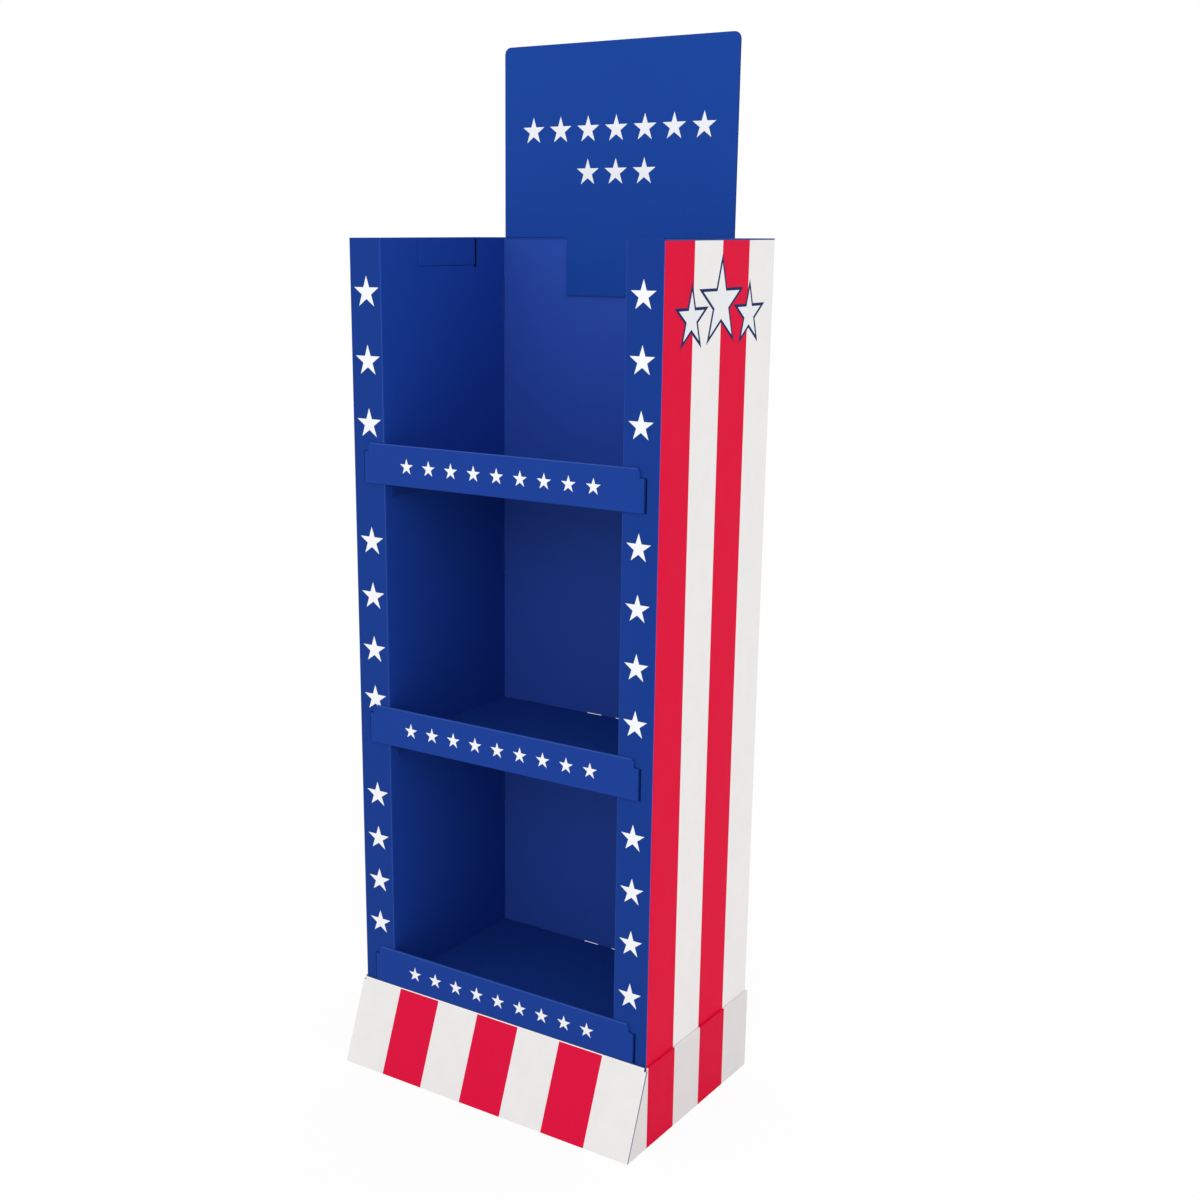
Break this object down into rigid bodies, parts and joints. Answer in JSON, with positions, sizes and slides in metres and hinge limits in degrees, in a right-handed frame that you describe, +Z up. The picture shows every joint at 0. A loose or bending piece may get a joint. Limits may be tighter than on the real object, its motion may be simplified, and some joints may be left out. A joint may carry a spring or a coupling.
{
  "type": "cardboard display stand",
  "caption": "Free-standing corrugated board display stand with hollow sides, lipped shelf trays, a sloping kick plinth and a header card.",
  "frame": {"origin": "on the floor, under the middle of the outline seen from above", "axes": "+Z up, front towards -Y, +X to the right seen from the front"},
  "size_m": [0.607, 0.4124, 1.785],
  "materials": {
    "printed_body_board": "litho-printed, satin",
    "printed_plinth_board": "litho-printed, satin",
    "printed_shelf_board": "litho-printed, satin",
    "printed_header_board": "litho-printed, satin",
    "plain_board": "unprinted brown liner"
  },
  "bodies": {
    "root": {"body_wrap": "printed_body_board", "base_plinth": "printed_plinth_board", "shelf_bottom": "printed_shelf_board", "shelf_middle": "printed_shelf_board", "shelf_top": "printed_shelf_board", "header_card": "printed_header_board", "base_rib_long": "plain_board", "base_rib_left": "plain_board", "base_rib_right": "plain_board"}
  },
  "joints": []
}
